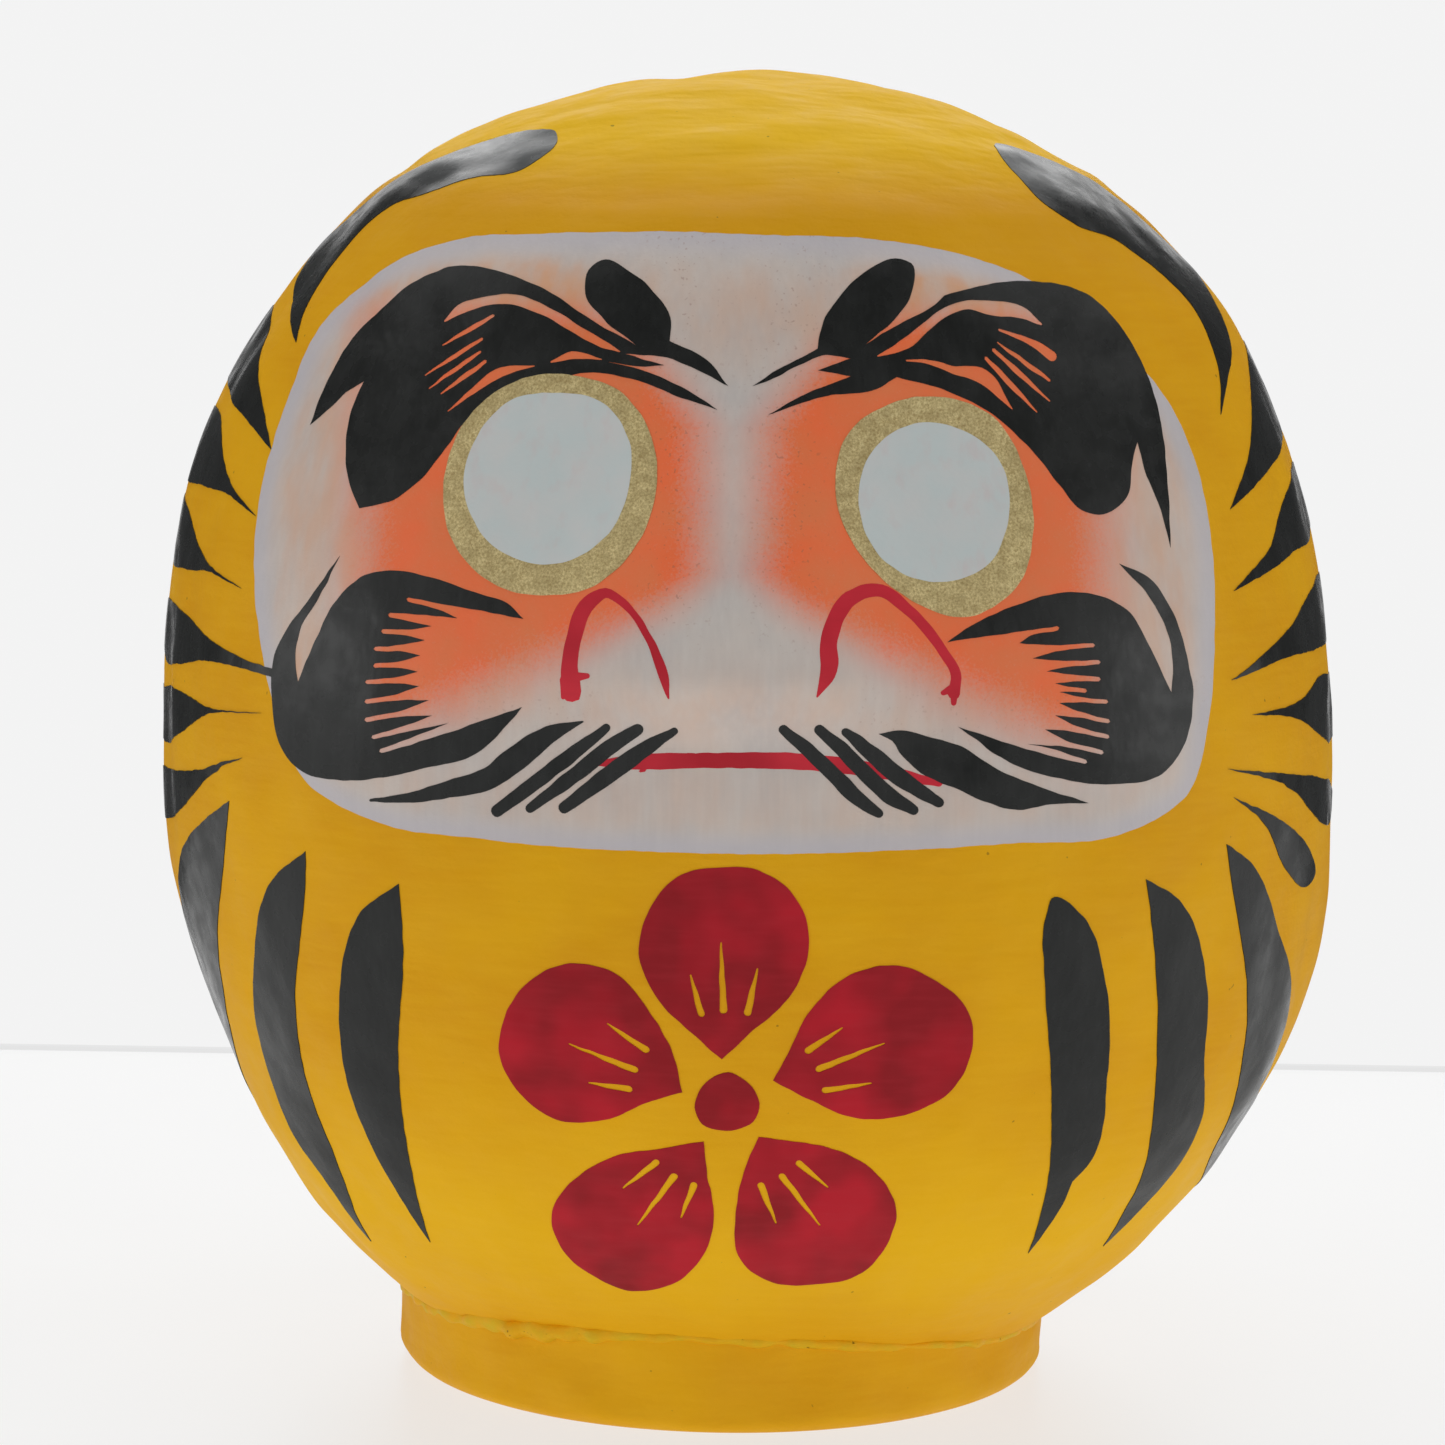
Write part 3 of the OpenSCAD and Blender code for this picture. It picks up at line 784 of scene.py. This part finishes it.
def yellow_paint(name, base, deep, pale, bump=1.0, rough=0.62):
    """Matt yellow paint brushed over pasted paper."""
    s = Shader(name)
    cloud = s.span(s.noise(26, 2), 0.35, 0.68)
    brushed = s.span(s.noise(1.3, 3, (9, 9, 1)), 0.32, 0.72)
    tone = s.mix(cloud, base, deep)
    tone = s.mix(s.times(brushed, 0.22), tone, pale)
    # A darker band below the hood's rim, all round: painted shade.
    tone = s.mix(s.span(s.height, 206, 219, 0, 0.6), tone, (220, 158, 10))
    # Lighter and greener on the crown: painted top light and sheen.
    tone = s.mix(s.span(s.height, 223, 234, 0, 0.9), tone, (250, 198, 28))
    # Lighter and more yellow low on the belly and on the foot ring: painted light from below.
    low = s.times(s.span(s.height, 72, 36, 0, 0.6), s.span(s.height, 12, 40, 0.2))
    tone = s.mix(low, tone, (252, 198, 12))
    speck = s.span(s.noise(1.6, 1), 0.79, 0.82)
    tone = s.mix(s.times(speck, 0.5), tone, (95, 70, 20))
    ripple = s.times(s.noise(4, 2, (5, 2.4, 1)), s.span(s.height, 219, 228))
    height = s.bumps((s.noise(2.4, 3, (4, 4, 1)), 0.16 * bump), (s.noise(5.5, 3), 0.30 * bump),
                     (s.noise(0.55, 2), 0.035 * bump), (ripple, 1.3))
    return s.finish(tone, s.patchy(7, 3, rough - 0.06, rough + 0.10), height,
                    Specular_IOR_Level=0.16)


def black_paint():
    """Glossier black paint, uneven where the brush went over it twice, and lighter on the crown: a painted
    sheen.
    """
    s = Shader("black_paint")
    cloud = s.span(s.noise(6, 3, (1, 1, 1.8)), 0.42, 0.7)
    streak = s.span(s.noise(0.8, 2, (1, 1, 8)), 0.45, 0.75)
    tone = s.mix(s.times(cloud, 0.4), (35, 36, 35), (50, 51, 50))
    tone = s.mix(s.times(streak, 0.12), tone, (64, 66, 66))
    # Lighter grey towards the crown: a painted sheen, the glossy black's reflection put into its colour.
    tone = s.mix(s.span(s.height, 223, 231, 0, 0.7), tone, (112, 114, 114))
    height = s.bumps((s.noise(8, 3, (1, 1, 1.6)), 0.24), (s.noise(0.9, 2, (3.5, 3.5, 1)), 0.009))
    return s.finish(tone, s.span(s.noise(4, 3), 0.35, 0.68, 0.2, 0.34), height, Specular_IOR_Level=0.22)


def red_paint(name, thin, thick):
    """Deep red, darker where the brush strokes cross."""
    s = Shader(name)
    wash = s.span(s.noise(15, 2), 0.38, 0.64)
    streak = s.span(s.noise(1.2, 2, (7, 7, 1)), 0.45, 0.75)
    tone = s.mix(wash, thin, thick)
    tone = s.mix(s.times(streak, 0.2), tone, (188, 40, 52))
    height = s.bumps((s.noise(2.4, 3, (4, 4, 1)), 0.06))
    return s.finish(tone, s.patchy(4, 2, 0.42, 0.56), height, Specular_IOR_Level=0.2)


def field_paint():
    """The white face, with orange sprayed round the eyes and a cool tint along its edge."""
    s = Shader("field_paint")
    white = s.mix(s.span(s.noise(12, 3), 0.35, 0.7), (212, 202, 194), (200, 194, 190))
    white = s.mix(s.times(s.span(s.noise(1.1, 3, (1, 1, 9)), 0.4, 0.75), 0.3), white, (222, 215, 208))
    warm = s.times(s.value("warm"), s.span(s.noise(5, 3, (1, 1, 3.5)), 0.34, 0.66, 0.35, 1.0))
    white = s.mix(warm, white, (222, 171, 136))
    white = s.mix(s.value("cool"), white, (197, 192, 200))
    orange = s.mix(s.span(s.noise(9, 2), 0.35, 0.7), (252, 117, 66), (240, 127, 76))
    spray = s.math("ADD", s.value("blush"), s.span(s.noise(0.5, 2, rough=0.7), 0.2, 0.8, -0.15, 0.15))
    fringe = s.span(spray, 0.1, 0.95)
    tone = s.mix(s.math("MAXIMUM", fringe, s.times(s.value("blush"), 0.92)), white, orange)
    speck = s.times(s.span(s.noise(0.7, 1), 0.66, 0.74), s.value("speckle"))
    tone = s.mix(s.times(speck, 0.36), tone, (150, 96, 78))
    height = s.bumps((s.noise(4.5, 3), 0.16), (s.noise(0.6, 2), 0.03))
    return s.finish(tone, s.patchy(6, 3, 0.42, 0.56), height, Specular_IOR_Level=0.4)


def gold_paint():
    """Grainy gold, brushed round each eye."""
    s = Shader("gold_paint")
    flake = s.span(s.noise(0.42, 2, rough=0.75), 0.34, 0.66)
    turn = s.span(s.value("brushed"), 0.3, 0.72)
    tone = s.mix(flake, (182, 158, 102), (236, 218, 160))
    tone = s.mix(s.times(turn, 0.35), tone, (150, 126, 76))
    height = s.bumps((s.noise(0.6, 2), 0.05), (s.value("brushed"), 0.08))
    return s.finish(tone, s.patchy(0.9, 2, 0.38, 0.58), height, Metallic=0.35)


def eye_paint():
    """Blank blue-white eye, faintly stained pink."""
    s = Shader("eye_paint")
    tone = s.mix(s.span(s.noise(7, 3), 0.35, 0.7), (205, 214, 213), (213, 214, 212))
    tone = s.mix(s.times(s.span(s.noise(3.5, 3, (1, 1, 1.8)), 0.54, 0.72), 0.4), tone, (214, 196, 194))
    height = s.bumps((s.noise(3, 3), 0.12), (s.noise(0.7, 2), 0.02))
    return s.finish(tone, s.patchy(5, 2, 0.36, 0.5), height, Specular_IOR_Level=0.45)


def glue_paint():
    """Thick yellow paint over glue, greenish where it is thin, with pinholes."""
    s = Shader("glue_paint")
    tone = s.mix(s.span(s.noise(5, 3), 0.42, 0.72), (236, 176, 10), (216, 184, 26))
    holes = s.span(s.noise(1.1, 1), 0.74, 0.8)
    tone = s.mix(s.times(holes, 0.6), tone, (120, 84, 14))
    height = s.bumps((s.noise(1.6, 3), 0.2), (holes, -0.25))
    return s.finish(tone, s.patchy(4, 2, 0.5, 0.64), height, Specular_IOR_Level=0.2)


def raw_paper():
    """Unpainted pressed paper with fibres."""
    s = Shader("raw_paper")
    fibre = s.span(s.noise(0.5, 3, (6, 1, 1)), 0.4, 0.7)
    cross = s.span(s.noise(0.5, 3, (1, 6, 1)), 0.4, 0.7)
    tone = s.mix(s.times(fibre, 0.5), (196, 176, 138), (170, 146, 106))
    tone = s.mix(s.times(cross, 0.4), tone, (216, 200, 166))
    tone = s.mix(s.times(s.span(s.noise(14, 3), 0.5, 0.75), 0.4), tone, (150, 122, 82))
    height = s.bumps((s.math("ADD", fibre, cross), 0.06))
    return s.finish(tone, s.patchy(3, 2, 0.78, 0.92), height, Specular_IOR_Level=0.2)


def raw_clay():
    """Dry clay and pulp."""
    s = Shader("raw_clay")
    tone = s.mix(s.span(s.noise(4, 4), 0.35, 0.7), (150, 112, 78), (118, 84, 56))
    tone = s.mix(s.times(s.span(s.noise(0.9, 2), 0.6, 0.7), 0.6), tone, (186, 160, 124))
    height = s.bumps((s.noise(2.5, 4), 0.5))
    return s.finish(tone, s.patchy(3, 2, 0.8, 0.95), height, Specular_IOR_Level=0.2)


def stage_material(name, tone, rough, glow=0.0):
    s = Shader(name)
    faint = s.mix(s.span(s.noise(60, 3), 0.3, 0.7), tone, tuple(c - 3 for c in tone))
    return s.finish(faint, rough, None, Specular_IOR_Level=0.15,
                    Emission_Color=(1, 1, 1, 1), Emission_Strength=glow)


# ---- the pieces
YELLOW, YELLOW_DEEP, YELLOW_PALE = (236, 173, 8), (228, 161, 6), (243, 187, 30)
shell_paint = yellow_paint("yellow_paint", YELLOW, YELLOW_DEEP, YELLOW_PALE)
black, gold = black_paint(), gold_paint()
mark_red = red_paint("mark_red", (190, 18, 38), (148, 12, 25))
line_red = red_paint("line_red", (212, 44, 60), (186, 30, 46))

make_shell(shell_paint)

# The face field lies under the other paints, so the red, black, gold and eye paints are lifted over it.
FIELD_LIFT, RED_LIFT, BLACK_LIFT, GOLD_LIFT, EYE_LIFT = 0.09, 0.12, 0.15, 0.18, 0.21
BRIDGE_X = -3.75  # middle of the painted nose


def blush_at(x, z):
    """How much orange is sprayed on a point of the face."""
    out = np.abs(x - BRIDGE_X)
    near = np.interp(z, [140, 146, 152, 160, 184, 192, 200, 208], [28, 19, 11, 3, 4, 10, 17, 24])
    low = np.interp(out, [15, 35, 60], [147, 138, 127])
    return smooth(-7, 9, out - near) * smooth(73, 56, out) * smooth(-6, 12, z - low) * smooth(208, 198, z)


def paint_face():
    """The white field. Its points carry the places of the sprayed orange and of the other tints."""
    outline = closed_line(FIELD)
    face, flat, depth = paint("face_field", [outline], [], FIELD_LIFT, field_paint(), "white_paint")
    x, z = flat[:, 0], flat[:, 1]
    out = np.abs(x - BRIDGE_X)
    temples = 0.75 * smooth(14, 34, out) * smooth(196, 206, z) * smooth(215, 210, z)
    forehead = 0.5 * bell((z - 203) / 9)
    cheeks = 0.62 * smooth(56, 66, out) * smooth(86, 78, out) * smooth(122, 140, z)
    lip = 0.4 * bell((z - 137) / 7) * (out < 84)
    chin = 0.3 * smooth(132, 122, z)
    warm = temples + forehead + cheeks + lip + chin
    speckle = bell((out - 9) / 7) * smooth(140, 156, z) + 0.5 * bell((z - 136) / 6) * (out > 22)
    point_values(face, "blush", np.clip(blush_at(x, z), 0, 1))
    point_values(face, "warm", np.clip(warm * smooth(1, 6, depth), 0, 1))
    point_values(face, "speckle", speckle)
    point_values(face, "cool", 0.65 * smooth(5, 0.5, depth))


def paint_eye(side, ring, eye):
    """A gold ring brushed round and round, and the blank eye over it."""
    band, flat, _ = paint("gold_ring_" + side, [closed_line(ring)], [], GOLD_LIFT, gold, "gold_paint")
    spot = flat - closed_line(eye).mean(0)
    radius, turn = np.linalg.norm(spot, axis=1), np.arctan2(spot[:, 1], spot[:, 0])
    marks = np.sin(radius * 3.1 + 1.3 * np.sin(turn * 2))
    marks += 0.7 * np.sin(radius * 5.3 + 2 * np.sin(turn + 1))
    point_values(band, "brushed", 0.5 + 0.22 * marks)
    paint("eye_" + side, [closed_line(eye)], [], EYE_LIFT, eye_paint(), "eye_paint")


def paint_stripes(side, stripes):
    outlines = [side_shape(s) for s in stripes]
    paint("side_stripes_" + side, outlines, [], BLACK_LIFT, black, "black_paint", from_side)


paint_face()
face_marks = [closed_line(s) for s in (LEFT_BROW, RIGHT_BROW, RIGHT_WHISKER)]
face_marks += [comb(LEFT_BEARD, LEFT_TIPS, LEFT_NOTCHES), comb(RIGHT_BEARD, RIGHT_TIPS, RIGHT_NOTCHES)]
face_hairs = [stroke(s) for s in LEFT_HAIRS + RIGHT_HAIRS]
gaps = [stroke(s) for s in LEFT_GAPS + RIGHT_GAPS] + [dash(*s) for s in LEFT_COMB + RIGHT_COMB]
paint("red_lines", [stroke(s) for s in RED_LINES + RED_BRISTLES], [], RED_LIFT, line_red, "red_paint")
paint("face_brushwork", face_marks + face_hairs, gaps, BLACK_LIFT, black, "black_paint")
paint_stripes("left", LEFT_STRIPES)
paint_stripes("right", RIGHT_STRIPES)
paint("belly_blossom", *blossom(), RED_LIFT, mark_red, "red_paint")

paint_eye("left", LEFT_RING, LEFT_EYE)
paint_eye("right", RIGHT_RING, RIGHT_EYE)


def seam_height(around, radius):
    """Height of the shell's underside at a distance from the ring's axis."""
    x = RING_X + radius * np.sin(around) - sag_x(10.0)
    y = -radius * np.cos(around) - BODY_Y
    reach = ((np.abs(x) / HALF_W) ** PLAN_POWER + (np.abs(y) / HALF_D) ** PLAN_POWER) ** (1 / PLAN_POWER)
    return GIRTH_Z - DROP * (1 - reach ** BELLY_POWER) ** (1 / BELLY_POWER)


def make_loop(name, sections, material, replaces):
    """A ring-shaped piece from an array of closed sections, (stations, sides, 3)."""
    stations, sides = sections.shape[:2]
    faces = []
    for i in range(stations):
        n = (i + 1) % stations
        for k in range(sides):
            m = (k + 1) % sides
            faces.append((i * sides + k, n * sides + k, n * sides + m, i * sides + m))
    return make_piece(name, sections.reshape(-1, 3), faces, material, replaces=replaces)


def make_ring():
    """The foot ring: rounded below, hollowed on top to the shell, and a little uneven."""
    turns = np.radians(np.arange(0, 360, 1.5))
    lap, recess, inset = 52.5, 1.0, RING_R - RING_EDGE
    edge = np.radians(np.linspace(-90, 0, 7))
    sections = []
    for t in turns:
        top_out, top_in = seam_height(t, RING_R), seam_height(t, RING_BORE)
        profile = [(lap, recess), (lap + 0.15, 0.15), (lap + 0.6, 0)]
        profile += [(r, 0) for r in np.linspace(54, inset - 0.5, 4)]
        profile += [(inset + RING_EDGE * math.cos(a), RING_EDGE + RING_EDGE * math.sin(a)) for a in edge]
        profile += [(RING_R, h) for h in np.linspace(RING_EDGE, top_out, 12)[1:]]
        profile += [(r, seam_height(t, r)) for r in np.linspace(RING_R, RING_BORE, 10)[1:]]
        profile += [(RING_BORE, h) for h in np.linspace(top_in, recess, 5)[1:]]
        way = np.array([math.sin(t), -math.cos(t), 0])
        sections.append([way * r + np.array([RING_X, 0, h]) for r, h in profile])
    sections = np.array(sections)
    out = sections - np.array([RING_X, 0, 0])
    radius = np.linalg.norm(out[..., :2], axis=-1)
    amount = 0.28 * foot_lump(sections) * smooth(RING_R - 3, RING_R, radius)
    amount *= smooth(0.5, 4, sections[..., 2])
    sections[..., 0] += out[..., 0] / radius * amount
    sections[..., 1] += out[..., 1] / radius * amount
    paint_under = yellow_paint("ring_paint", (236, 172, 10), (228, 160, 8), (242, 186, 30), 1.2)
    return make_loop("foot_ring", sections, paint_under, ["base_ring"])


def make_bead():
    """The lumpy bead of glue and paint between the shell and the ring."""
    sides = 14
    turns = np.arange(0, 360, 0.75) - 180
    sections = []
    for around in turns:
        t = math.radians(around)
        size = 0.9 + 1.1 * bell((around + 45) / 34) + 0.16 * math.sin(7 * t) + 0.1 * math.sin(17 * t + 0.7)
        tilts = np.radians(np.arange(sides) * 360 / sides)
        radius = RING_R - 0.35 * size + 0.1 + size * np.cos(tilts)
        height = seam_height(t, RING_R) + size * np.sin(tilts)
        sections.append(np.stack([RING_X + radius * math.sin(t), -radius * math.cos(t), height], -1))
    sections = np.array(sections)
    middle = sections.mean(1, keepdims=True)
    lump = 1 + 0.2 * bead_lump(sections)
    sections = middle + (sections - middle) * lump[..., None]
    return make_loop("glue_bead_piece", sections, glue_paint(), ["glue_bead"])


def make_strip():
    """The paper strip over the slit, with torn edges, painted over with the shell."""
    low, high = angle_at(strip_low[2]), angle_at(strip_high[2])
    half, thick, degree_mm, rows, columns = 11.0, 0.45, 1.9, 130, 19
    tear = waves(16, 5, 26, (1, 1, 1))
    angle, across = np.meshgrid(np.linspace(low, high, rows), np.linspace(-1, 1, columns), indexing="ij")
    ragged = tear(np.stack([half * across, 0 * across, degree_mm * angle], -1))
    end = smooth(4, 0, np.minimum(angle - low, high - angle))
    torn = half - 0.5 + 0.75 * ragged * np.abs(across)
    around = 180 + np.degrees(np.arctan2(across * torn, back_reach(angle)))
    angle = angle + 0.45 * end * ragged
    fade = np.clip((1 - np.abs(across)) * 5, 0.12, 1)
    lifts = thick * fade, np.full(fade.shape, -PAINT_ROOT)
    points = np.concatenate([painted_point(around, angle, lift) for lift in lifts]).reshape(-1, 3)
    faces = both_sides(grid_faces(rows, columns, False), rows * columns)
    paint_over = yellow_paint("strip_paint", (232, 166, 8), (221, 153, 6), (243, 186, 30), 2.0)
    return make_piece("back_paper_strip", points, faces, paint_over,
                      replaces=["back_seam_strip"])


def make_bottom_paper():
    """The pasted disc underneath, slightly wrinkled and uneven at its edge."""
    rings, columns = 30, 180
    wrinkle = waves(20, 8, 26, (1, 1, 1))
    turns = np.radians(np.arange(columns) * 360 / columns)
    share, turn = np.meshgrid(np.linspace(0.03, 1, rings), turns, indexing="ij")
    radius = (paper_high[0] - paper_low[0]) / 2 * share * (1 - 0.006 * (1 + np.sin(turn * 9)) * share)
    x, y = RING_X + radius * np.cos(turn), radius * np.sin(turn)
    under = np.stack([x, y, np.full(x.shape, paper_low[2])], -1)
    over = np.stack([x, y, np.full(x.shape, paper_high[2])], -1)
    under[..., 2] += 0.12 + 0.10 * wrinkle(under) * smooth(1, 0.9, share)
    skins = [np.append(skin.reshape(-1, 3), [skin[0].mean(0)], axis=0) for skin in (under, over)]
    middle = rings * columns
    faces = grid_faces(rings, columns) + [((i + 1) % columns, i, middle) for i in range(columns)]
    faces = both_sides(faces, middle + 1)
    return make_piece("bottom_paper_disc", np.concatenate(skins), faces, raw_paper(),
                      replaces=["bottom_paper"])


make_ring()
make_bead()
make_strip()
make_bottom_paper()

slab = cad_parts["ballast_slab"]
slab_clay = raw_clay()
for place in slab.material_slots:
    place.material = slab_clay

# ---- stage, light and camera
# Metres. The trim is the thin band along the table's far edge.
TABLE_FRONT, TABLE_BACK, TABLE_SIDE, TABLE_THICK = -2.0, 0.291, 1.5, 0.012
TRIM_BACK, TRIM_TOP = TABLE_BACK + 0.003, 0.0011


def stage_box(name, low, high, material):
    corners = [(x, y, z) for z in (low[2], high[2]) for y in (low[1], high[1]) for x in (low[0], high[0])]
    sides = [(0, 2, 3, 1), (4, 5, 7, 6), (0, 1, 5, 4), (2, 6, 7, 3), (0, 4, 6, 2), (1, 3, 7, 5)]
    mesh = bpy.data.meshes.new(name)
    mesh.from_pydata(corners, [], sides)
    mesh.materials.append(material)
    thing = bpy.data.objects.new(name, mesh)
    bpy.context.scene.collection.objects.link(thing)
    return thing


table_top = stage_material("table_top", (110, 111, 111), 0.38, 0.70)
trim_grey = stage_material("trim_grey", (20, 20, 20), 0.9, 0.77)
backdrop_white = stage_material("backdrop_white", (20, 20, 20), 0.9, 0.895)
stage_box("table", (-TABLE_SIDE, TABLE_FRONT, -TABLE_THICK), (TABLE_SIDE, TABLE_BACK, 0.0), table_top)
stage_box("table_trim", (-TABLE_SIDE, TABLE_BACK, -TABLE_THICK), (TABLE_SIDE, TRIM_BACK, TRIM_TOP),
          trim_grey)
stage_box("backdrop", (-0.8, 2.2, -1.2), (0.8, 2.25, 1.8), backdrop_white)


def softbox(name, around, up, distance, size, power):
    """A rectangular light that faces the doll.

    around is in degrees from straight behind it, and up is in degrees above its middle.
    """
    data = bpy.data.lights.new(name, "AREA")
    data.shape = "RECTANGLE"
    data.size, data.size_y = size
    data.energy = power
    lamp = bpy.data.objects.new(name, data)
    turn, tilt = math.radians(around), math.radians(up)
    way = Vector((math.cos(tilt) * math.sin(turn), math.cos(tilt) * math.cos(turn), math.sin(tilt)))
    lamp.location = Vector((0, 0, 0.12)) + way * distance
    lamp.rotation_euler = way.to_track_quat("Z", "Y").to_euler()
    bpy.context.scene.collection.objects.link(lamp)


softbox("top_light", 0, 85.5, 1.28, (0.9, 0.7), 6.0)
softbox("back_light", 0, 33.6, 2.4, (2.0, 1.7), 14.5)
softbox("front_light", 180, 9, 2.43, (2.4, 0.8), 7.6)
for side, way in (("left", -1), ("right", 1)):
    softbox(side + "_fill", 120 * way, 12, 1.9, (1.2, 0.9), 3.0)
    softbox(side + "_high", 90 * way, 50, 1.7, (1.6, 0.9), 3.6)
    softbox(side + "_low", 98 * way, 4, 1.7, (1.1, 0.4), 2.8)

world = bpy.data.worlds.new("studio")
world.use_nodes = True
sky = world.node_tree.nodes["Background"]
sky.inputs["Color"].default_value = (0.97, 0.985, 1.0, 1)
sky.inputs["Strength"].default_value = 0.075
bpy.context.scene.world = world
bpy.context.scene.view_settings.view_transform = "Standard"

LENS, SENSOR = 99.65, 36.0
LOOK_DOWN, ROLL = 6.25, 0.9  # degrees
CAMERA_PLACE = (RING_X - 1.83, -770.19, 207.95)
camera_data = bpy.data.cameras.new("camera")
camera_data.lens = LENS
camera_data.sensor_width = SENSOR
camera = bpy.data.objects.new("camera", camera_data)
tilt = Euler((math.radians(90 - LOOK_DOWN), 0, 0)).to_matrix().to_4x4()
roll = Matrix.Rotation(math.radians(ROLL), 4, "Z")
camera.matrix_world = Matrix.Translation(Vector(CAMERA_PLACE) * MM) @ tilt @ roll
bpy.context.scene.collection.objects.link(camera)
bpy.context.scene.camera = camera
